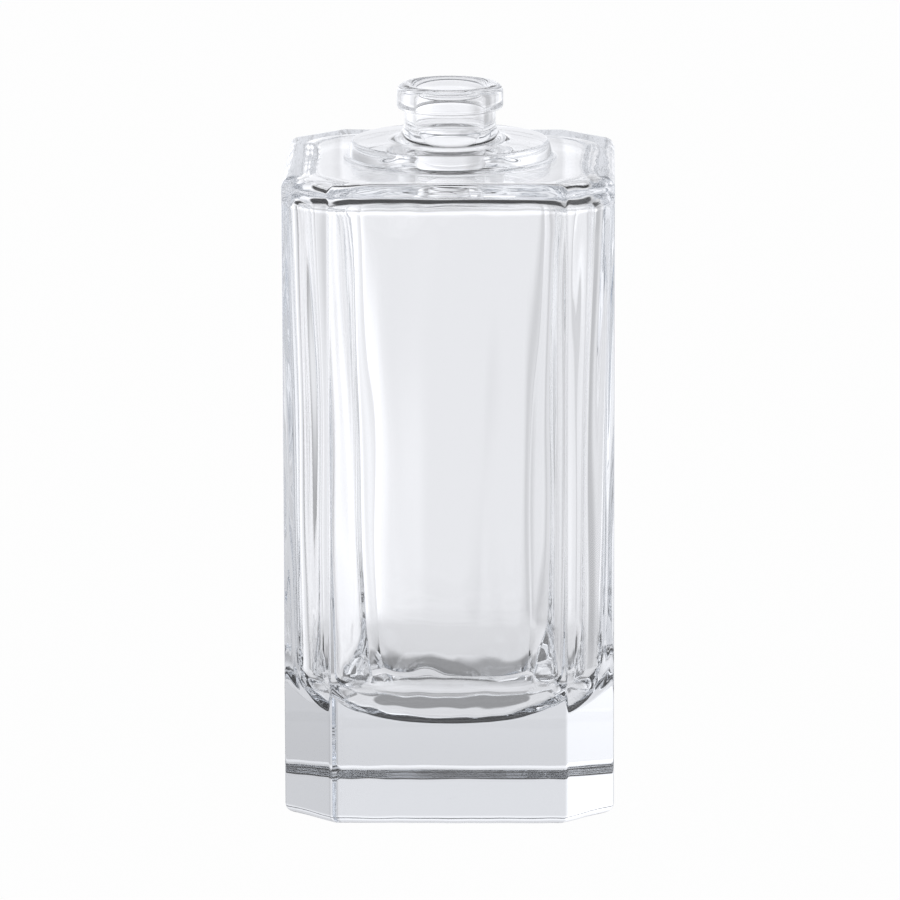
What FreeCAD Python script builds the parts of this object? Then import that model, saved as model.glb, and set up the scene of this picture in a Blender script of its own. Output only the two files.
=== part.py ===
import FreeCAD, Part
import math
import os

# Square glass bottle for aftershave: cut corners, a heavy solid base, a flat shoulder
# with a raised round collar, and a short neck whose ring takes a crimped pump.
# It is one moulding of clear glass, hollow and open at the top.
# Millimetres, +Z up, origin at the centre of the base, front face towards -Y.

# Body, outside
BODY_WIDTH = 46.4          # across opposite flat faces, the same both ways
BODY_HEIGHT = 91.4         # base to the flat of the shoulder
CORNER_CUT = 6.6           # leg of each cut corner, along the faces
EDGE_RADIUS = 0.7          # the eight upright edges
HEEL_RADIUS = 1.5          # round the base
SHOULDER_RADIUS = 1.5      # round the shoulder

# Collar, neck and crimp ring
COLLAR_DIAMETER = 29.2     # at the foot of the collar
COLLAR_DRAFT = 0.7         # lean of the collar's rim, on each side
COLLAR_HEIGHT = 2.4        # rim of the collar
COLLAR_RISE = 0.2          # slope of the collar's top, from the rim up to the neck
COLLAR_EDGE_RADIUS = 0.5
COLLAR_FOOT_RADIUS = 0.7   # where the rim meets the shoulder
NECK_BORE = 9.8
NECK_WALL = 1.5
NECK_LENGTH = 4.3          # collar to the underside of the ring
NECK_FOOT_RADIUS = 2.5     # where the neck meets the collar
RING_OVERHANG = 1.1        # ring beyond the neck, on each side
RING_HEIGHT = 3.5
RING_UNDER_RADIUS = 0.35   # between the neck and the ring
RING_EDGE_RADIUS = 0.5     # lower edge of the ring
LIP_RADIUS = 1.2           # upper edge of the ring
MOUTH_RADIUS = 1.2         # inner edge of the mouth

# Cavity: a rounded square that widens upwards, with a bowl for a floor
BASE_THICKNESS = 12.0      # solid glass under the middle of the floor
SHOULDER_THICKNESS = 2.2   # solid glass over the cavity
WALL_LOW = 3.5             # side wall just above the floor's bowl
WALL_HIGH = 2.1            # side wall under the shoulder
CAVITY_CORNER_LOW = 11.0   # corner radius of the cavity just above the bowl
CAVITY_CORNER_HIGH = 9.0   # corner radius of the cavity under the shoulder
BOWL_HEIGHT = 9.0          # height over which the floor curves up into the walls
BOWL_FLAT = 10.0           # width of the floor's flat middle
CEILING_RADIUS = 2.5       # curve from the walls into the ceiling
BORE_FOOT_RADIUS = 2.0     # curve from the ceiling into the bore

# Sections of the bowl, and the largest share of a section's half-width that is corner radius
BOWL_STEPS = 8
ROUNDEST = 0.96

# Heights and radii that follow
COLLAR_RIM_Z = BODY_HEIGHT + COLLAR_HEIGHT
NECK_FOOT_Z = COLLAR_RIM_Z + COLLAR_RISE
RING_UNDER_Z = NECK_FOOT_Z + NECK_LENGTH
LIP_Z = RING_UNDER_Z + RING_HEIGHT
BOWL_TOP_Z = BASE_THICKNESS + BOWL_HEIGHT
CEILING_Z = BODY_HEIGHT - SHOULDER_THICKNESS
BORE_R = NECK_BORE / 2
NECK_R = BORE_R + NECK_WALL
RING_R = NECK_R + RING_OVERHANG
COLLAR_R = COLLAR_DIAMETER / 2
CAVITY_HALF_LOW = BODY_WIDTH / 2 - WALL_LOW
CAVITY_HALF_HIGH = BODY_WIDTH / 2 - WALL_HIGH

TOLERANCE = 1e-4
Z_AXIS = FreeCAD.Vector(0, 0, 1)


def rounded_outline(corners):
    """Closed wire in the XZ plane through (x, z, radius) corners, each rounded by its radius."""
    points = [FreeCAD.Vector(x, 0, z) for x, z, radius in corners]
    ahead_of = points[1:] + points[:1]
    starts = []
    ends = []
    arcs = []
    for i, point in enumerate(points):
        radius = corners[i][2]
        back = (points[i - 1] - point).normalize()
        ahead = (ahead_of[i] - point).normalize()
        half_angle = back.getAngle(ahead) / 2
        reach = radius / math.tan(half_angle)
        starts.append(point + back * reach)
        ends.append(point + ahead * reach)
        middle = point + (back + ahead).normalize() * (radius / math.sin(half_angle) - radius)
        if radius > 0:
            arcs.append(Part.Arc(starts[i], middle, ends[i]).toShape())
        else:
            arcs.append(None)
    edges = []
    for arc, end, start in zip(arcs, ends, starts[1:] + starts[:1]):
        if arc is not None:
            edges.append(arc)
        edges.append(Part.LineSegment(end, start).toShape())
    return Part.Wire(edges)


def upright_edges(shape):
    """Edges that run up and down."""
    return [edge for edge in shape.Edges if edge.BoundBox.ZLength > TOLERANCE]


def level_edges(shape, z):
    """Edges that lie at one height."""
    return [edge for edge in shape.Edges
            if abs(edge.BoundBox.ZMin - z) < TOLERANCE and abs(edge.BoundBox.ZMax - z) < TOLERANCE]


def circles(shape, z, radius):
    """Round edges of one radius at one height."""
    found = []
    for edge in level_edges(shape, z):
        is_circle = not edge.Degenerated and isinstance(edge.Curve, Part.Circle)
        if is_circle and abs(edge.Curve.Radius - radius) < TOLERANCE:
            found.append(edge)
    return found


def octagon_block():
    """Upright block with cut corners, its edges, heel and shoulder rounded."""
    half = BODY_WIDTH / 2
    flat = half - CORNER_CUT
    points = []
    for turn in range(4):
        spin = FreeCAD.Rotation(Z_AXIS, 90 * turn)
        points.append(spin.multVec(FreeCAD.Vector(half, flat, 0)))
        points.append(spin.multVec(FreeCAD.Vector(flat, half, 0)))
    block = Part.Face(Part.makePolygon(points + points[:1])).extrude(Z_AXIS * BODY_HEIGHT)
    block = block.makeFillet(EDGE_RADIUS, upright_edges(block))
    block = block.makeFillet(HEEL_RADIUS, level_edges(block, 0))
    return block.makeFillet(SHOULDER_RADIUS, level_edges(block, BODY_HEIGHT))


def finish():
    """Collar, neck and crimp ring as one turned solid, sunk into the shoulder."""
    sunk_z = BODY_HEIGHT - SHOULDER_THICKNESS / 2
    outline = rounded_outline([
        (0, sunk_z, 0),
        (COLLAR_R, sunk_z, 0),
        (COLLAR_R, BODY_HEIGHT, 0),
        (COLLAR_R - COLLAR_DRAFT, COLLAR_RIM_Z, COLLAR_EDGE_RADIUS),
        (NECK_R, NECK_FOOT_Z, NECK_FOOT_RADIUS),
        (NECK_R, RING_UNDER_Z, RING_UNDER_RADIUS),
        (RING_R, RING_UNDER_Z, RING_EDGE_RADIUS),
        (RING_R, LIP_Z, LIP_RADIUS),
        (0, LIP_Z, 0),
    ])
    return Part.Face(outline).revolve(FreeCAD.Vector(), Z_AXIS, 360)


def cavity_section(half, corner, z):
    """Rounded square of a half-width and corner radius, as a wire at height z."""
    corner = min(corner, half * ROUNDEST)
    flat = half - corner
    diagonal = flat + corner * math.sqrt(0.5)
    edges = []
    for turn in range(4):
        spin = FreeCAD.Rotation(Z_AXIS, 90 * turn)
        right = spin.multVec(FreeCAD.Vector(half, flat, z))
        middle = spin.multVec(FreeCAD.Vector(diagonal, diagonal, z))
        top = spin.multVec(FreeCAD.Vector(flat, half, z))
        left = spin.multVec(FreeCAD.Vector(-flat, half, z))
        edges.append(Part.Arc(right, middle, top).toShape())
        edges.append(Part.LineSegment(top, left).toShape())
    return Part.Wire(edges)


def cavity():
    """Inside of the bottle below the bore: bowl, tapering walls and rounded ceiling."""
    bowl_sections = []
    for step in range(BOWL_STEPS + 1):
        angle = math.pi / 2 * step / BOWL_STEPS
        half = BOWL_FLAT / 2 + (CAVITY_HALF_LOW - BOWL_FLAT / 2) * math.sin(angle)
        z = BASE_THICKNESS + BOWL_HEIGHT * (1 - math.cos(angle))
        bowl_sections.append(cavity_section(half, CAVITY_CORNER_LOW, z))
    bowl = Part.makeLoft(bowl_sections, True, False)
    top_section = cavity_section(CAVITY_HALF_HIGH, CAVITY_CORNER_HIGH, CEILING_Z)
    walls = Part.makeLoft([bowl_sections[-1], top_section], True, True)
    walls = walls.makeFillet(CEILING_RADIUS, level_edges(walls, CEILING_Z))
    return bowl.fuse(walls)


def glass_bottle():
    """The whole moulding, with the bore opening into the cavity and its edges rounded."""
    glass = octagon_block().fuse(finish()).removeSplitter()
    glass = glass.makeFillet(COLLAR_FOOT_RADIUS, circles(glass, BODY_HEIGHT, COLLAR_R))
    bore = Part.makeCylinder(BORE_R, LIP_Z - CEILING_Z, FreeCAD.Vector(0, 0, CEILING_Z))
    glass = glass.cut(cavity().fuse(bore))
    glass = glass.makeFillet(MOUTH_RADIUS, circles(glass, LIP_Z, BORE_R))
    return glass.makeFillet(BORE_FOOT_RADIUS, circles(glass, CEILING_Z, BORE_R))


os.makedirs("parts", exist_ok=True)
bottle = glass_bottle().Solids[0]
bottle.exportStep("parts/glass_bottle.step")
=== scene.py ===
import math

import bpy
from bpy.props import FloatProperty, PointerProperty, StringProperty
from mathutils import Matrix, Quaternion, Vector


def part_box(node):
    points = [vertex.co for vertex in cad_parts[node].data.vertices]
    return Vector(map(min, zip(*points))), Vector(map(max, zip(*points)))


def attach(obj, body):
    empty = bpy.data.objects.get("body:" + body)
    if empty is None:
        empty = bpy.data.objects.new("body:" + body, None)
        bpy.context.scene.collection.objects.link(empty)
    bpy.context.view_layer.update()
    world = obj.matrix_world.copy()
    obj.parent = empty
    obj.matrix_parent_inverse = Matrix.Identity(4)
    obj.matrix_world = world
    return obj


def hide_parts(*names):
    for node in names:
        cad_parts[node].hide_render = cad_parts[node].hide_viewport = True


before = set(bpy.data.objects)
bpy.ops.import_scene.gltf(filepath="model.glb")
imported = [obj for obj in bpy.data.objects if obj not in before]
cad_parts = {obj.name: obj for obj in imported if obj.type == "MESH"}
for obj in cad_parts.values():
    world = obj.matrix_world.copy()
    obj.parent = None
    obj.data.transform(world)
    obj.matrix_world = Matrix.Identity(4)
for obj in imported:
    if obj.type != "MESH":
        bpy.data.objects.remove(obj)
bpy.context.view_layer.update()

bl_info = {
    "name": "Aftershave Bottle",
    "version": (1, 0, 0),
    "blender": (4, 5, 0),
    "location": "View3D > Sidebar > Bottle",
    "description": "Square bottle of clear moulded glass with cut corners, on a studio floor",
    "category": "Object",
}

NODE = "glass_bottle"
BODY = "root"

MM = 0.001
LOW_CORNER, HIGH_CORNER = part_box(NODE)
BODY_WIDTH = HIGH_CORNER.x - LOW_CORNER.x
LIP_HEIGHT = HIGH_CORNER.z

# The outlines that a ring of the glass has, alone or mixed: octagon, circle and rounded square
OUTLINES = ("block", "round", "cavity")

# Points along the outlines: a flat face, a cut corner and one rounded upright edge
FACE_STEPS = 34
CUT_STEPS = 8
EDGE_STEPS = 6
AROUND = 4 * (FACE_STEPS + CUT_STEPS + 2 * EDGE_STEPS)

# Rings along the profile: the turn between rings on a curve, and their distance on a straight
CURVE_STEP = math.radians(9)
CURVE_LEAST = 3
STRAIGHT_STEP = 1.2 * MM
STRAIGHT_LEAST = 2
HOLD = 0.12 * MM           # from each end of a straight to the ring that keeps it flat
HOLD_MOST = 0.25           # of a short straight
WELD = HOLD / 100          # points closer than this become one

# Marks of blowing: the shares by which their pattern runs along X, Y and Z, where less is longer
WAVE_STRETCH = (1.0, 1.0, 0.5)
STREAK_STRETCH = (1.0, 1.0, 0.06)
CRINKLE_STRETCH = (1.0, 1.0, 1.0)
NOISE_GAIN = 2.0           # noise keeps to the middle of its range, so it is spread to about -1 to 1
FULL_OUTLINE = 10 * MM     # half width from which a ring counts as all of one outline

# Product of X and Y over which an inner wall turns from flat into corner, and the streaks on the flat
INTO_CORNER = (120 * MM ** 2, 260 * MM ** 2)
FLAT_STREAKS = 0.3

# Where the studio's light changes, by how far a direction points to the right
FLAG_LEFT = (-0.97, -0.85)
SIDE_LEFT = (-0.9, -0.5)
WINDOW = (-0.45, 0.0)
CORNER_RIGHT = (0.09, 0.25)
WALL_RIGHT = (0.3, 0.45)
SIDE_RIGHT = (0.48, 0.75)
LAMP_RIGHT = (0.86, 0.95)

# The same by how far it points towards the camera, and how far up
TOWARDS_CAMERA = (0.2, 0.75)
NEAR_LEVEL = (0.1, 0.24)
HIGH = (0.25, 0.5)
ABOVE = (0.46, 0.62)

# The same on the floor, by how steeply it is seen: from the painted reflection to the board, then to the
# painted contact shadow straight down
STEEP = (0.3, 0.6)
STRAIGHT_DOWN = (0.82, 0.89)

# And by the distance from the axis, as multiples of the base's reach: the painted reflection, its gain at
# the horizon, the painted shade by the bottle and the painted contact shadow
PAINTED_SHEEN_SPAN = (1.0, 5.0)
HORIZON_SPAN = (18.0, 32.0)
BOARD_SPAN = (1.8, 3.5)
CONTACT_SPAN = (1.4, 1.9)

WHITE = (1.0, 1.0, 1.0, 1.0)
WHITE_SHARE = 0.985        # of the floor that the camera sees; the rest takes the shadow
FLOOR_HALF = 4.0
FLOOR_DROP = 0.05 * MM
BOUNCES = 64


def length(name, description, millimetres, lowest=0.0):
    """A size in metres, with its default written in millimetres."""
    return FloatProperty(name=name, description=description, default=millimetres * MM, min=lowest,
                         precision=5, unit="LENGTH", subtype="DISTANCE")


def angle(name, description, degrees):
    """An angle, with its default written in degrees."""
    return FloatProperty(name=name, description=description, default=math.radians(degrees),
                         unit="ROTATION", subtype="ANGLE")


def level(name, description, default):
    """A plain number, such as a light's level, where 1 is white."""
    return FloatProperty(name=name, description=description, default=default)


def portion(name, description, default):
    """A share from 0 to 1."""
    return FloatProperty(name=name, description=description, default=default, min=0.0, max=1.0,
                         subtype="FACTOR")


class BottleSizes(bpy.types.PropertyGroup):
    """Sizes of the moulding, outside and inside."""

    body_width: length("Body width", "Across opposite flat faces", BODY_WIDTH / MM)
    lip_height: length("Lip height", "Base to the top of the lip", LIP_HEIGHT / MM)
    body_height: length("Body height", "Base to the flat of the shoulder", 91.4)
    corner_cut: length("Corner cut", "Leg of each cut corner, along the faces", 6.6)
    edge_radius: length("Edge radius", "Rounding of the upright edges", 0.7)
    heel_radius: length("Heel radius", "Rounding round the base", 1.5)
    shoulder_radius: length("Shoulder radius", "Rounding round the shoulder", 1.5)
    collar_radius: length("Collar radius", "Foot of the raised round collar on the shoulder", 14.6)
    collar_draft: length("Collar draft", "Lean of the collar's rim", 0.7)
    collar_height: length("Collar height", "Rim of the collar", 2.4)
    collar_rise: length("Collar rise", "Slope of the collar from its rim up to the neck", 0.2)
    collar_foot_radius: length("Collar foot radius", "Between the shoulder and the collar", 0.7)
    collar_edge_radius: length("Collar edge radius", "Rounding of the collar's rim", 0.5)
    neck_radius: length("Neck radius", "Outside of the neck", 6.4)
    neck_foot_radius: length("Neck foot radius", "Between the collar and the neck", 2.5)
    bore_radius: length("Bore radius", "Inside of the neck", 4.9)
    bore_foot_radius: length("Bore foot radius", "Curve from the bore into the ceiling", 2.0)
    ring_radius: length("Ring radius", "Outside of the crimp ring", 7.5)
    ring_height: length("Ring height", "Crimp ring with its lip", 3.5)
    ring_under_radius: length("Ring under radius", "Between the neck and the ring", 0.35)
    ring_edge_radius: length("Ring edge radius", "Lower edge of the ring", 0.5)
    lip_radius: length("Lip radius", "Outer edge of the lip", 1.2)
    mouth_radius: length("Mouth radius", "Inner edge of the lip", 1.2)
    base_thickness: length("Base thickness", "Solid glass under the middle of the floor", 12.0)
    shoulder_thickness: length("Shoulder thickness", "Solid glass over the cavity", 2.2)
    wall_low: length("Lower wall", "Side wall just above the bowl of the floor", 3.5)
    wall_high: length("Upper wall", "Side wall under the shoulder", 2.1)
    bowl_height: length("Bowl height", "Height over which the floor curves up into the walls", 9.0)
    bowl_flat: length("Bowl flat", "Half width of the flat middle of the floor", 5.0)
    ceiling_radius: length("Ceiling radius", "Curve from the walls into the ceiling", 2.5)
    cavity_corner: length("Cavity corner", "Corner radius of the cavity under the shoulder", 9.0)
    roundness_high: portion("Upper roundness", "Share of a circle in the cavity under the shoulder", 0.0)
    roundness_low: portion("Lower roundness", "Share of a circle in the lower cavity", 0.28)
    roundness_turn: length("Roundness turn", "Height below which the cavity gets no rounder", 46.0)
    wave_height: length("Wave height", "Blown waves of the inner wall, crest to mean", 0.6)
    wave_length: length("Wave length", "Distance between blown waves", 16.0)
    wave_seed: level("Wave seed", "Which blown waves this bottle has", 37.0)
    streak_height: length("Streak height", "Upright streaks of the cavity's corners, crest to mean", 0.3)
    streak_length: length("Streak length", "Distance between upright streaks", 3.5)
    crinkle_height: length("Crinkle height", "Mean depth of chill marks by floor, heel and shoulder", 0.14)
    crinkle_length: length("Crinkle length", "Distance between chill marks", 3.2)
    crinkle_low: length("Crinkle low", "Height up to which the cavity has all its chill marks", 14.0)
    crinkle_high: length("Crinkle high", "Height from which the cavity's walls have none", 26.0)


class GlassFinish(bpy.types.PropertyGroup):
    """Clear flint glass."""

    tint: StringProperty(name="Tint", description="Colour left after a long way through the glass",
                         default="#D6DEE8")
    density: level("Density", "Absorption per metre", 4.0)
    ior: level("Index of refraction", "Flint container glass", 1.52)
    ripple_height: length("Ripple height", "Depth of the mould's ripple in the skin", 0.03)
    ripple_length: length("Ripple length", "Distance between ripples", 11.0)


class StudioSettings(bpy.types.PropertyGroup):
    """Floor, light and camera."""

    paper: StringProperty(name="Paper", description="Colour of the floor", default="#F2F2F2")
    light: StringProperty(name="Light", description="Colour of the studio light", default="#F9FAFE")
    wall_back: level("Wall, back", "Light from straight behind", 0.82)
    wall_left: level("Wall, left", "Light from the window, back left", 1.17)
    side_left: level("Side, left", "Light from the left", 0.8)
    flag_left: level("Flag, left", "Dark flag square on the left", 0.36)
    corner_right: level("Corner, right", "Light just right of straight behind", 0.62)
    wall_right: level("Wall, right", "Light from back right", 0.71)
    side_right: level("Side, right", "Light from the right", 0.48)
    lamp_right: level("Lamp, right", "Light from the lamp square on the right", 0.95)
    room: level("Room", "Light from high behind the camera", 0.72)
    ceiling: level("Ceiling", "Light from right above", 0.04)
    horizon: level("Horizon", "Gain of the light where floor and walls meet", 1.3)
    # Board and far board: the floor seen steeply, dimmer near the bottle as painted shade
    board: level("Board", "Floor by the bottle, seen steeply", 0.8)
    board_far: level("Far board", "Floor farther off, seen steeply", 1.05)
    # Sheen and far sheen: painted reflection of the walls in the floor, dimmer near the bottle as painted
    # shade
    painted_sheen: level("Sheen", "Walls mirrored by the floor near the bottle", 0.89)
    painted_sheen_far: level("Far sheen", "Walls mirrored by the floor farther off", 1.075)
    # Contact: painted contact shadow under the base
    painted_contact_shadow: level("Contact", "Shading of the floor by the base, seen from right above", 0.4)
    contact_reach: length("Contact reach", "From the axis to the edge of the base", 24.0)
    camera_distance: length("Camera distance", "From the aim point", 1110.0)
    camera_rise: angle("Camera rise", "Angle of the camera above level", 12.2)
    camera_turn: angle("Camera turn", "Angle of the camera round the bottle", 1.09)
    camera_roll: angle("Camera roll", "Lean of the camera about its own line", -0.14)
    aim_side: length("Aim side", "Aim point to the right of the bottle's axis", -0.12, lowest=-1.0)
    aim_height: length("Aim height", "Height of the point that the camera looks at", 48.98)
    lens: level("Lens", "Focal length in millimetres", 312.5)


def linear(hex_colour):
    """sRGB hex colour as linear RGBA."""
    channels = [int(hex_colour[i:i + 2], 16) / 255 for i in (1, 3, 5)]
    return [c / 12.92 if c <= 0.04045 else ((c + 0.055) / 1.055) ** 2.4 for c in channels] + [1.0]


def add(tree, kind, inputs=None, **settings):
    """Adds a node with its settings, and sets or links its inputs."""
    node = tree.nodes.new(kind)
    for name, value in settings.items():
        setattr(node, name, value)
    for key, value in (inputs or {}).items():
        if isinstance(value, bpy.types.NodeSocket):
            tree.links.new(value, node.inputs[key])
        else:
            node.inputs[key].default_value = value
    return node


def maths(tree, operation, first, second=0.0):
    """One step of arithmetic on numbers."""
    return add(tree, "ShaderNodeMath", {0: first, 1: second}, operation=operation).outputs[0]


def vectors(tree, operation, first, second=(0.0, 0.0, 0.0)):
    """One step of arithmetic on vectors."""
    return add(tree, "ShaderNodeVectorMath", {0: first, 1: second}, operation=operation).outputs[0]


def scaled(tree, vector, amount):
    """A vector times a number."""
    return add(tree, "ShaderNodeVectorMath", {0: vector, "Scale": amount}, operation="SCALE").outputs[0]


def axes(tree, vector):
    """The X, Y and Z of a vector."""
    return add(tree, "ShaderNodeSeparateXYZ", {0: vector}).outputs


def ramp(tree, value, limits, first, second, run="LINEAR"):
    """A number that goes from first to second between two limits of a value."""
    return add(tree, "ShaderNodeMapRange", {0: value, 1: limits[0], 2: limits[1], 3: first, 4: second},
               interpolation_type=run).outputs[0]


def smooth(tree, value, limits, first, second):
    """A ramp that starts and ends softly."""
    return ramp(tree, value, limits, first, second, run="SMOOTHSTEP")


def mix(tree, share, first, second):
    """A number between two others."""
    return add(tree, "ShaderNodeMix", {0: share, 2: first, 3: second}).outputs[0]


def mix_shaders(tree, share, first, second):
    """Two shaders, one showing through the other by a share."""
    return add(tree, "ShaderNodeMixShader", {0: share, 1: first, 2: second}).outputs[0]


def spaced(low, high, steps):
    """Values from low to high, closer together towards both ends."""
    return [low + (high - low) * (1 - math.cos(math.pi * k / steps)) / 2 for k in range(steps + 1)]


def block_outline(sizes):
    """Octagon of the body with rounded edges, for a half width of 1, starting at the +X face."""
    half = sizes.body_width / 2
    cut = sizes.corner_cut / half
    edge = sizes.edge_radius / half
    reach = [1.0, (2 - cut) / math.sqrt(2)]
    side = [1 - cut, cut / math.sqrt(2)]
    steps = [FACE_STEPS, CUT_STEPS]
    tangent = edge * math.tan(math.pi / 8)
    points = []
    for k in range(8):
        normal = math.pi / 4 * k
        out = Vector((math.cos(normal), math.sin(normal), 0))
        along = Vector((-math.sin(normal), math.cos(normal), 0))
        end = side[k % 2] - tangent
        points += [out * reach[k % 2] + along * s for s in spaced(-end, end, steps[k % 2])]
        centre = out * (reach[k % 2] - edge) + along * end
        for step in range(1, EDGE_STEPS):
            turn = normal + math.pi / 4 * step / EDGE_STEPS
            points.append(centre + edge * Vector((math.cos(turn), math.sin(turn), 0)))
    return points


def round_outline():
    """Unit circle, in step with the octagon's faces."""
    angles = [2 * math.pi * (j - FACE_STEPS / 2) / AROUND for j in range(AROUND)]
    return [Vector((math.cos(a), math.sin(a), 0)) for a in angles]


def cavity_outline(sizes):
    """Rounded square for a half width of 1, its points evenly spaced along it."""
    corner = sizes.cavity_corner / (sizes.body_width / 2 - sizes.wall_high)
    flat = 1 - corner
    quarter = 2 * flat + math.pi / 2 * corner
    points = []
    for j in range(AROUND):
        travel = (j - FACE_STEPS / 2) * 4 * quarter / AROUND
        turn, travel = divmod(travel + flat, quarter)
        if travel < 2 * flat:
            point = Vector((1, travel - flat, 0))
        else:
            bend = (travel - 2 * flat) / corner
            point = Vector((flat + corner * math.cos(bend), flat + corner * math.sin(bend), 0))
        spin = math.pi / 2 * turn
        points.append(Vector((point.x * math.cos(spin) - point.y * math.sin(spin),
                              point.x * math.sin(spin) + point.y * math.cos(spin), 0)))
    return points


def straight(start, end):
    """Points of the profile from start to end with their share of the way, held close to both ends."""
    way = end - start
    hold = min(HOLD / way.length, HOLD_MOST)
    inner = max(STRAIGHT_LEAST, round(way.length / STRAIGHT_STEP))
    shares = [0.0] + [hold + (1 - 2 * hold) * k / inner for k in range(inner + 1)] + [1.0]
    return [(start + way * share, share) for share in shares]


def arc(corner, back, ahead, radius):
    """Points round a corner of the profile, from the side it comes from to the side it goes to."""
    corner = Vector(corner)
    back = (Vector(back) - corner).normalized()
    ahead = (Vector(ahead) - corner).normalized()
    half = back.angle(ahead) / 2
    centre = corner + (back + ahead).normalized() * (radius / math.sin(half))
    start = corner + back * (radius / math.tan(half)) - centre
    end = corner + ahead * (radius / math.tan(half)) - centre
    sweep = start.angle(end)
    steps = max(CURVE_LEAST, math.ceil(sweep / CURVE_STEP))
    points = []
    for k in range(steps + 1):
        share = k / steps
        weight = math.sin((1 - share) * sweep), math.sin(share * sweep)
        points.append(centre + (start * weight[0] + end * weight[1]) / math.sin(sweep))
    return points


def ceiling_height(sizes):
    """Height of the cavity's ceiling."""
    return sizes.body_height - sizes.shoulder_thickness


def ring(sizes, point, outline, other, share):
    """Height of a ring and its half width as each outline, where a share of it has the other outline.

    The cavity turns partly round towards its floor, as blown glass does.
    """
    reach = dict.fromkeys(OUTLINES, 0.0)
    reach[outline] += point.x * (1 - share)
    reach[other] += point.x * share
    turn = sizes.roundness_turn
    rise = (point.y - turn) / (ceiling_height(sizes) - turn)
    rise = min(max(rise, 0.0), 1.0) ** 2
    rounder = sizes.roundness_low + (sizes.roundness_high - sizes.roundness_low) * rise
    reach["round"] += reach["cavity"] * rounder
    reach["cavity"] *= 1 - rounder
    return point.y, [reach[name] for name in OUTLINES]


def bowl_rings(sizes):
    """Rings of the cavity's floor, from its walls to its middle, turning from square to round."""
    low = sizes.body_width / 2 - sizes.wall_low
    steps = 2 * math.ceil(math.pi / 2 / CURVE_STEP)
    rings = []
    for k in range(steps + 1):
        lean = math.pi / 2 * (1 - k / steps)
        reach = sizes.bowl_flat + (low - sizes.bowl_flat) * math.sin(lean)
        z = sizes.base_thickness + sizes.bowl_height * (1 - math.cos(lean))
        rings.append(ring(sizes, Vector((reach, z)), "cavity", "round", (k / steps) ** 2))
    for reach in (sizes.bowl_flat / 2, 0.0):
        rings.append(ring(sizes, Vector((reach, sizes.base_thickness)), "round", "round", 0))
    return rings


def glass_rings(sizes):
    """Rings of the whole skin, from the middle of the base up, over the lip and down to the floor."""
    half = sizes.body_width / 2
    rim = sizes.body_height + sizes.collar_height
    neck_foot = rim + sizes.collar_rise
    under_ring = sizes.lip_height - sizes.ring_height
    ceiling = ceiling_height(sizes)
    bowl_top = sizes.base_thickness + sizes.bowl_height
    corners = [
        ((0, 0), 0, "block"),
        ((half, 0), sizes.heel_radius, "block"),
        ((half, sizes.body_height), sizes.shoulder_radius, "block"),
        ((sizes.collar_radius, sizes.body_height), sizes.collar_foot_radius, "round"),
        ((sizes.collar_radius - sizes.collar_draft, rim), sizes.collar_edge_radius, "round"),
        ((sizes.neck_radius, neck_foot), sizes.neck_foot_radius, "round"),
        ((sizes.neck_radius, under_ring), sizes.ring_under_radius, "round"),
        ((sizes.ring_radius, under_ring), sizes.ring_edge_radius, "round"),
        ((sizes.ring_radius, sizes.lip_height), sizes.lip_radius, "round"),
        ((sizes.bore_radius, sizes.lip_height), sizes.mouth_radius, "round"),
        ((sizes.bore_radius, ceiling), sizes.bore_foot_radius, "round"),
        ((half - sizes.wall_high, ceiling), sizes.ceiling_radius, "cavity"),
        ((half - sizes.wall_low, bowl_top), 0, "cavity"),
    ]
    rings = []
    last = Vector(corners[0][0])
    for i in range(1, len(corners)):
        place, radius, outline = corners[i]
        before = corners[i - 1]
        if radius > 0:
            bend = arc(place, before[0], corners[i + 1][0], radius)
        else:
            bend = [Vector(place)]
        for point, share in straight(last, bend[0])[:-1]:
            rings.append(ring(sizes, point, before[2], outline, share))
        for point in bend[:-1]:
            rings.append(ring(sizes, point, outline, outline, 0))
        last = bend[-1]
    return rings + bowl_rings(sizes)


def rail(name, points, attributes):
    """Loose points with vector attributes, for a tree to read."""
    mesh = bpy.data.meshes.new(name)
    mesh.from_pydata(points, [], [])
    for title, values in attributes.items():
        layer = mesh.attributes.new(title, "FLOAT_VECTOR", "POINT")
        for item, value in zip(layer.data, values):
            item.vector = value
    obj = bpy.data.objects.new(name, mesh)
    bpy.context.scene.collection.objects.link(obj)
    return obj


def rail_vector(tree, geometry, value, index):
    """The value of one point of a rail."""
    return add(tree, "GeometryNodeSampleIndex", {"Geometry": geometry, "Value": value, "Index": index},
               data_type="FLOAT_VECTOR").outputs[0]


def named_vector(tree, name):
    """A vector attribute by its name."""
    return add(tree, "GeometryNodeInputNamedAttribute", {"Name": name}, data_type="FLOAT_VECTOR").outputs[0]


def position(tree):
    """The place of each point."""
    return add(tree, "GeometryNodeInputPosition").outputs[0]


def swell(tree, place, stretch, wave_length, seed):
    """Smooth random swell between about -1 and 1, of a wave length and a stretch along each axis."""
    place = vectors(tree, "MULTIPLY", place, stretch)
    scale = maths(tree, "DIVIDE", 1.0, wave_length)
    noise = add(tree, "ShaderNodeTexNoise", {"Vector": place, "W": seed, "Scale": scale, "Detail": 0.0},
                noise_dimensions="4D").outputs[0]
    return ramp(tree, noise, (0.0, 1.0), -NOISE_GAIN, NOISE_GAIN)


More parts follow.
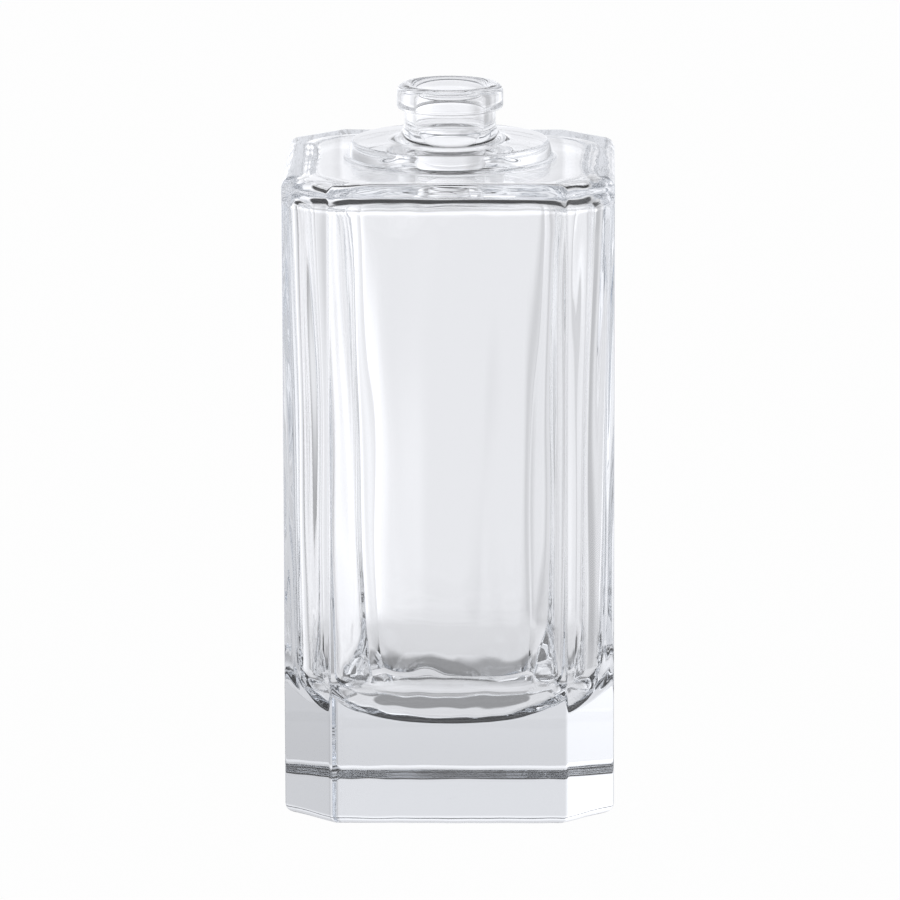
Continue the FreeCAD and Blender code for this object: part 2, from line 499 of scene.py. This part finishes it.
def loft(tree, given):
    """A grid, its place when stretched over the rings, and each ring's half width as each outline."""
    profile = add(tree, "GeometryNodeObjectInfo", {"Object": given["Profile"]}).outputs["Geometry"]
    sections = add(tree, "GeometryNodeObjectInfo", {"Object": given["Sections"]}).outputs["Geometry"]
    columns = maths(tree, "ADD", given["Around"], 1)
    grid = add(tree, "GeometryNodeMeshGrid", {"Vertices X": columns, "Vertices Y": given["Along"]}).outputs
    across = axes(tree, grid["UV Map"])
    column = maths(tree, "ROUND", maths(tree, "MULTIPLY", across["X"], given["Around"]))
    column = maths(tree, "MODULO", column, given["Around"])
    last_row = maths(tree, "SUBTRACT", given["Along"], 1)
    row = maths(tree, "ROUND", maths(tree, "MULTIPLY", across["Y"], last_row))
    reach = axes(tree, rail_vector(tree, profile, named_vector(tree, "reach"), row))
    place = rail_vector(tree, profile, position(tree), row)
    for outline, half_width in zip(OUTLINES, reach):
        shape = rail_vector(tree, sections, named_vector(tree, outline), column)
        place = vectors(tree, "ADD", place, scaled(tree, shape, half_width))
    return grid["Mesh"], place, reach


def blown_marks(tree, given, reach):
    """How far the marks of blowing and chilling move the skin outwards.

    The inner wall waves gently and has upright streaks, most of all in the corners. Where the glass
    was chilled first, by the cavity's floor and ceiling and round the heel and the shoulder, small
    crinkles press it in.
    """
    place = position(tree)
    at = axes(tree, place)
    seed = given["Wave seed"]
    inside = ramp(tree, reach["Z"], (0.0, FULL_OUTLINE), 0.0, 1.0)
    square = ramp(tree, reach["X"], (0.0, FULL_OUTLINE), 0.0, 1.0)

    wave = swell(tree, place, WAVE_STRETCH, given["Wave length"], seed)
    wave = maths(tree, "MULTIPLY", wave, given["Wave height"])
    streak = swell(tree, place, STREAK_STRETCH, given["Streak length"], seed)
    streak = maths(tree, "MULTIPLY", streak, given["Streak height"])
    spread = maths(tree, "ABSOLUTE", maths(tree, "MULTIPLY", at["X"], at["Y"]))
    streak = maths(tree, "MULTIPLY", streak, ramp(tree, spread, INTO_CORNER, FLAT_STREAKS, 1.0))
    wave = maths(tree, "MULTIPLY", maths(tree, "ADD", wave, streak), inside)

    floor = ramp(tree, at["Z"], (given["Crinkle low"], given["Crinkle high"]), 1.0, 0.0)
    ceiling = ramp(tree, at["Z"], (given["Ceiling edge"], given["Ceiling"]), 0.0, 1.0)
    cavity = maths(tree, "MULTIPLY", maths(tree, "MAXIMUM", floor, ceiling), inside)
    heel = ramp(tree, at["Z"], (0.0, given["Heel"]), 1.0, 0.0)
    shoulder = ramp(tree, at["Z"], (given["Shoulder"], given["Shoulder top"]), 0.0, 1.0)
    shoulder = maths(tree, "MULTIPLY", shoulder, square)
    chilled = maths(tree, "MAXIMUM", maths(tree, "MAXIMUM", cavity, heel), shoulder)
    crinkle = swell(tree, place, CRINKLE_STRETCH, given["Crinkle length"], seed)
    crinkle = maths(tree, "MULTIPLY", maths(tree, "SUBTRACT", crinkle, 1.0), given["Crinkle height"])
    return maths(tree, "ADD", wave, maths(tree, "MULTIPLY", crinkle, chilled))


def loft_tree():
    """Geometry nodes that stretch a skin over the profile's rings and mark it as blown glass is."""
    tree = bpy.data.node_groups.new("Lofted glass", "GeometryNodeTree")
    sockets = {
        "NodeSocketObject": ("Profile", "Sections"),
        "NodeSocketInt": ("Around", "Along"),
        "NodeSocketFloat": ("Wave height", "Wave length", "Wave seed", "Streak height", "Streak length",
                            "Crinkle height", "Crinkle length", "Crinkle low", "Crinkle high", "Heel",
                            "Shoulder", "Shoulder top", "Ceiling edge", "Ceiling"),
        "NodeSocketMaterial": ("Glass",),
    }
    for kind, names in sockets.items():
        for name in names:
            tree.interface.new_socket(name, in_out="INPUT", socket_type=kind)
    tree.interface.new_socket("Skin", in_out="OUTPUT", socket_type="NodeSocketGeometry")
    given = add(tree, "NodeGroupInput").outputs
    grid, place, reach = loft(tree, given)
    skin = add(tree, "GeometryNodeSetPosition", {"Geometry": grid, "Position": place}).outputs[0]
    outward = vectors(tree, "MULTIPLY", position(tree), (1.0, 1.0, 0.0))
    outward = vectors(tree, "NORMALIZE", outward)
    marks = scaled(tree, outward, blown_marks(tree, given, reach))
    skin = add(tree, "GeometryNodeSetPosition", {"Geometry": skin, "Offset": marks}).outputs[0]
    skin = add(tree, "GeometryNodeMergeByDistance", {"Geometry": skin, "Distance": WELD}).outputs[0]
    skin = add(tree, "GeometryNodeSetShadeSmooth", {"Geometry": skin}).outputs[0]
    skin = add(tree, "GeometryNodeRealizeInstances", {"Geometry": skin}).outputs[0]
    skin = add(tree, "GeometryNodeSetMaterial", {"Geometry": skin, "Material": given["Glass"]}).outputs[0]
    add(tree, "NodeGroupOutput", {"Skin": skin})
    return tree


def realised(name, tree, values):
    """A plain mesh object from a tree and the values of its named inputs."""
    mesh = bpy.data.meshes.new(name)
    obj = bpy.data.objects.new(name, mesh)
    bpy.context.scene.collection.objects.link(obj)
    modifier = obj.modifiers.new(name, "NODES")
    modifier.node_group = tree
    for item in tree.interface.items_tree:
        if item.in_out == "INPUT":
            modifier[item.identifier] = values[item.name]
    graph = bpy.context.evaluated_depsgraph_get()
    graph.update()
    result = bpy.data.meshes.new_from_object(obj.evaluated_get(graph), depsgraph=graph)
    obj.modifiers.clear()
    obj.data = result
    result.name = name
    # The evaluated mesh has an empty slot before the glass, so it gets the glass as its only one
    result.materials.clear()
    result.materials.append(values["Glass"])
    result.polygons.foreach_set("material_index", [0] * len(result.polygons))
    bpy.data.meshes.remove(mesh)
    return obj


def emptied(block):
    """The node tree of a new material or world, with nothing in it."""
    block.use_nodes = True
    block.node_tree.nodes.clear()
    return block.node_tree


def flint_glass(finish):
    """Clear flint container glass, moulded and fire polished: sharp, bright, faintly cool where thick."""
    material = bpy.data.materials.new("Flint glass, fire polished")
    tree = emptied(material)
    place = add(tree, "ShaderNodeTexCoord").outputs["Object"]
    ripple = add(tree, "ShaderNodeTexNoise", {"Vector": place, "Scale": 1 / finish.ripple_length,
                                              "Detail": 1.0, "Roughness": 0.4})
    skin = add(tree, "ShaderNodeBump", {"Strength": 1.0, "Distance": finish.ripple_height,
                                        "Height": ripple.outputs[0]})
    shader = add(tree, "ShaderNodeBsdfPrincipled",
                 {"Base Color": WHITE, "Roughness": 0.0, "IOR": finish.ior,
                  "Transmission Weight": 1.0, "Normal": skin.outputs[0]})
    depth = add(tree, "ShaderNodeVolumeAbsorption",
                {"Color": linear(finish.tint), "Density": finish.density})
    add(tree, "ShaderNodeOutputMaterial", {"Surface": shader.outputs[0], "Volume": depth.outputs[0]})
    return material


def wall_light(tree, side, studio):
    """Light of the walls by how far a direction points to the right: brightest by the window."""
    steps = ((FLAG_LEFT, studio.flag_left - studio.side_left, 0.0),
             (SIDE_LEFT, studio.side_left - studio.wall_left, 0.0),
             (WINDOW, studio.wall_left - studio.wall_back, 0.0),
             (CORNER_RIGHT, studio.wall_back, studio.corner_right),
             (WALL_RIGHT, 0.0, studio.wall_right - studio.corner_right),
             (SIDE_RIGHT, 0.0, studio.side_right - studio.wall_right),
             (LAMP_RIGHT, 0.0, studio.lamp_right - studio.side_right))
    total = 0.0
    for limits, first, second in steps:
        total = maths(tree, "ADD", smooth(tree, side, limits, first, second), total)
    return total


def room_light(tree, direction, studio):
    """Light of the studio by direction: its walls, dark right above and dimmer high behind the camera."""
    way = axes(tree, direction)
    towards = maths(tree, "MULTIPLY", way["Y"], -1.0)
    behind = smooth(tree, towards, TOWARDS_CAMERA, 0.0, 1.0)
    behind = maths(tree, "MULTIPLY", behind, smooth(tree, way["Z"], HIGH, 0.0, 1.0))
    glow = smooth(tree, way["Z"], NEAR_LEVEL, studio.horizon, 1.0)
    walls = maths(tree, "MULTIPLY", wall_light(tree, way["X"], studio), glow)
    around = mix(tree, behind, walls, studio.room)
    return mix(tree, smooth(tree, way["Z"], ABOVE, 0.0, 1.0), around, studio.ceiling)


def painted_floor_light(tree, studio):
    """Painted light of the floor as glass sees it: painted reflections of the walls at a slant, the board
    itself from above, painted shade near the bottle and a painted contact shadow under its base.
    """
    surface = add(tree, "ShaderNodeNewGeometry").outputs
    seen_from = axes(tree, surface["Incoming"])
    side = maths(tree, "MULTIPLY", seen_from["X"], -1.0)
    away = axes(tree, vectors(tree, "ABSOLUTE", surface["Position"]))
    away = maths(tree, "MAXIMUM", away["X"], away["Y"])
    away = maths(tree, "DIVIDE", away, studio.contact_reach)

    # Painted reflection: the walls mirrored in the floor, given off as light, dimmer near the bottle as
    # painted shade
    painted_sheen = smooth(tree, away, PAINTED_SHEEN_SPAN, studio.painted_sheen, studio.painted_sheen_far)
    painted_sheen = maths(tree, "MULTIPLY", painted_sheen, smooth(tree, away, HORIZON_SPAN, 1.0, studio.horizon))
    walls = maths(tree, "MULTIPLY", wall_light(tree, side, studio), painted_sheen)
    # Painted reflection of the dimmer room behind the camera
    behind = smooth(tree, seen_from["Y"], TOWARDS_CAMERA, 0.0, 1.0)
    walls = mix(tree, behind, walls, studio.room)
    # Painted shade: the floor seen steeply is dimmer near the bottle
    board = smooth(tree, away, BOARD_SPAN, studio.board, studio.board_far)
    light = mix(tree, smooth(tree, seen_from["Z"], STEEP, 0.0, 1.0), walls, board)

    # Painted contact shadow: the floor right under the base, seen from straight above, is darker
    painted_contact_shade = smooth(tree, seen_from["Z"], STRAIGHT_DOWN, 1.0, studio.painted_contact_shadow)
    painted_contact_shade = maths(tree, "MAXIMUM", painted_contact_shade, smooth(tree, away, CONTACT_SPAN, 0.0, 1.0))
    return maths(tree, "MULTIPLY", light, painted_contact_shade)


def board_with_painted_light(studio):
    """White board: plain white to the camera, with a soft shadow; glass and glossy rays see painted
    reflections of the walls and painted shade in it, given off as light.
    """
    material = bpy.data.materials.new("White board with painted reflections")
    tree = emptied(material)
    rays = add(tree, "ShaderNodeLightPath").outputs
    # Painted reflection and painted shade, given off as light to transmission and glossy rays
    painted_reflection = add(tree, "ShaderNodeEmission", {"Color": linear(studio.light),
                                              "Strength": painted_floor_light(tree, studio)}).outputs[0]
    matt = add(tree, "ShaderNodeBsdfDiffuse", {"Color": linear(studio.paper)}).outputs[0]
    white = add(tree, "ShaderNodeEmission", {"Color": WHITE, "Strength": 1.0}).outputs[0]
    paper = mix_shaders(tree, WHITE_SHARE, matt, white)
    plain = mix_shaders(tree, rays["Is Camera Ray"], matt, paper)
    through_glass = maths(tree, "MAXIMUM", rays["Is Transmission Ray"], rays["Is Glossy Ray"])
    add(tree, "ShaderNodeOutputMaterial", {"Surface": mix_shaders(tree, through_glass, plain, painted_reflection)})
    return material


def studio_room(studio):
    """World that is white to the camera and gives the studio's light to everything else."""
    world = bpy.data.worlds.new("studio_room")
    tree = emptied(world)
    rays = add(tree, "ShaderNodeLightPath").outputs
    direction = add(tree, "ShaderNodeTexCoord").outputs["Generated"]
    walls = add(tree, "ShaderNodeBackground", {"Color": linear(studio.light),
                                               "Strength": room_light(tree, direction, studio)}).outputs[0]
    white = add(tree, "ShaderNodeBackground", {"Color": WHITE, "Strength": 1.0}).outputs[0]
    seen = mix_shaders(tree, rays["Is Camera Ray"], walls, white)
    add(tree, "ShaderNodeOutputWorld", {"Surface": seen})
    return world


def studio_floor(studio):
    """Square of board under the bottle, a hair below its base."""
    corners = [(-FLOOR_HALF, -FLOOR_HALF), (FLOOR_HALF, -FLOOR_HALF),
               (FLOOR_HALF, FLOOR_HALF), (-FLOOR_HALF, FLOOR_HALF)]
    mesh = bpy.data.meshes.new("studio_floor")
    mesh.from_pydata([(x, y, -FLOOR_DROP) for x, y in corners], [], [(0, 1, 2, 3)])
    mesh.materials.append(board_with_painted_light(studio))
    floor = bpy.data.objects.new("studio_floor", mesh)
    bpy.context.scene.collection.objects.link(floor)
    return floor


def studio_camera(studio):
    """Camera on a long lens, a little above the bottle and aimed at its middle."""
    lens = bpy.data.cameras.new("studio_camera")
    lens.lens = studio.lens
    camera = bpy.data.objects.new("studio_camera", lens)
    bpy.context.scene.collection.objects.link(camera)
    rise, turn = studio.camera_rise, studio.camera_turn
    way = Vector((math.sin(turn) * math.cos(rise), -math.cos(turn) * math.cos(rise), math.sin(rise)))
    camera.location = Vector((studio.aim_side, 0, studio.aim_height)) + way * studio.camera_distance
    lean = Quaternion((0, 0, 1), studio.camera_roll)
    camera.rotation_euler = ((-way).to_track_quat("-Z", "Y") @ lean).to_euler()
    return camera


class BOTTLE_OT_glass(bpy.types.Operator):
    """Lofts the moulding, one closed skin of glass with its cavity, and puts it on its body"""

    bl_idname = "bottle.glass"
    bl_label = "Glass Bottle"

    def execute(self, context):
        sizes = context.scene.bottle_sizes
        rings = glass_rings(sizes)
        ceiling = ceiling_height(sizes)
        profile = rail("profile_rail", [(0, 0, z) for z, reach in rings],
                       {"reach": [reach for z, reach in rings]})
        circle = round_outline()
        sections = rail("section_rail", circle, {"block": block_outline(sizes), "round": circle,
                                                 "cavity": cavity_outline(sizes)})
        bottle = realised("bottle_glass", loft_tree(), {
            "Profile": profile, "Sections": sections, "Around": AROUND, "Along": len(rings),
            "Wave height": sizes.wave_height, "Wave length": sizes.wave_length,
            "Wave seed": sizes.wave_seed, "Streak height": sizes.streak_height,
            "Streak length": sizes.streak_length, "Crinkle height": sizes.crinkle_height,
            "Crinkle length": sizes.crinkle_length, "Crinkle low": sizes.crinkle_low,
            "Crinkle high": sizes.crinkle_high, "Heel": sizes.heel_radius,
            "Shoulder": sizes.body_height - sizes.shoulder_radius, "Shoulder top": sizes.body_height,
            "Ceiling edge": ceiling - 2 * sizes.ceiling_radius, "Ceiling": ceiling,
            "Glass": flint_glass(context.scene.bottle_glass)})
        for helper in (profile, sections):
            bpy.data.objects.remove(helper)
        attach(bottle, BODY)
        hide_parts(NODE)
        return {"FINISHED"}


class BOTTLE_OT_stage(bpy.types.Operator):
    """Lays the floor, lights it and aims the camera"""

    bl_idname = "bottle.stage"
    bl_label = "Studio Stage"

    def execute(self, context):
        scene = context.scene
        studio = scene.bottle_studio
        studio_floor(studio)
        scene.world = studio_room(studio)
        scene.camera = studio_camera(studio)
        scene.view_settings.view_transform = "Standard"
        scene.cycles.max_bounces = BOUNCES
        scene.cycles.transmission_bounces = BOUNCES
        scene.cycles.glossy_bounces = BOUNCES
        return {"FINISHED"}


class BOTTLE_PT_panel(bpy.types.Panel):
    """Lists the pieces and the stage"""

    bl_idname = "BOTTLE_PT_panel"
    bl_label = "Aftershave Bottle"
    bl_space_type = "VIEW_3D"
    bl_region_type = "UI"
    bl_category = "Bottle"

    def draw(self, context):
        for operator in (BOTTLE_OT_glass, BOTTLE_OT_stage):
            self.layout.operator(operator.bl_idname)


CLASSES = (BottleSizes, GlassFinish, StudioSettings, BOTTLE_OT_glass, BOTTLE_OT_stage, BOTTLE_PT_panel)


def register():
    for cls in CLASSES:
        bpy.utils.register_class(cls)
    bpy.types.Scene.bottle_sizes = PointerProperty(type=BottleSizes)
    bpy.types.Scene.bottle_glass = PointerProperty(type=GlassFinish)
    bpy.types.Scene.bottle_studio = PointerProperty(type=StudioSettings)


def unregister():
    del bpy.types.Scene.bottle_studio
    del bpy.types.Scene.bottle_glass
    del bpy.types.Scene.bottle_sizes
    for cls in reversed(CLASSES):
        bpy.utils.unregister_class(cls)


def main():
    register()
    bpy.ops.bottle.glass()
    bpy.ops.bottle.stage()


if __name__ == "__main__":
    main()
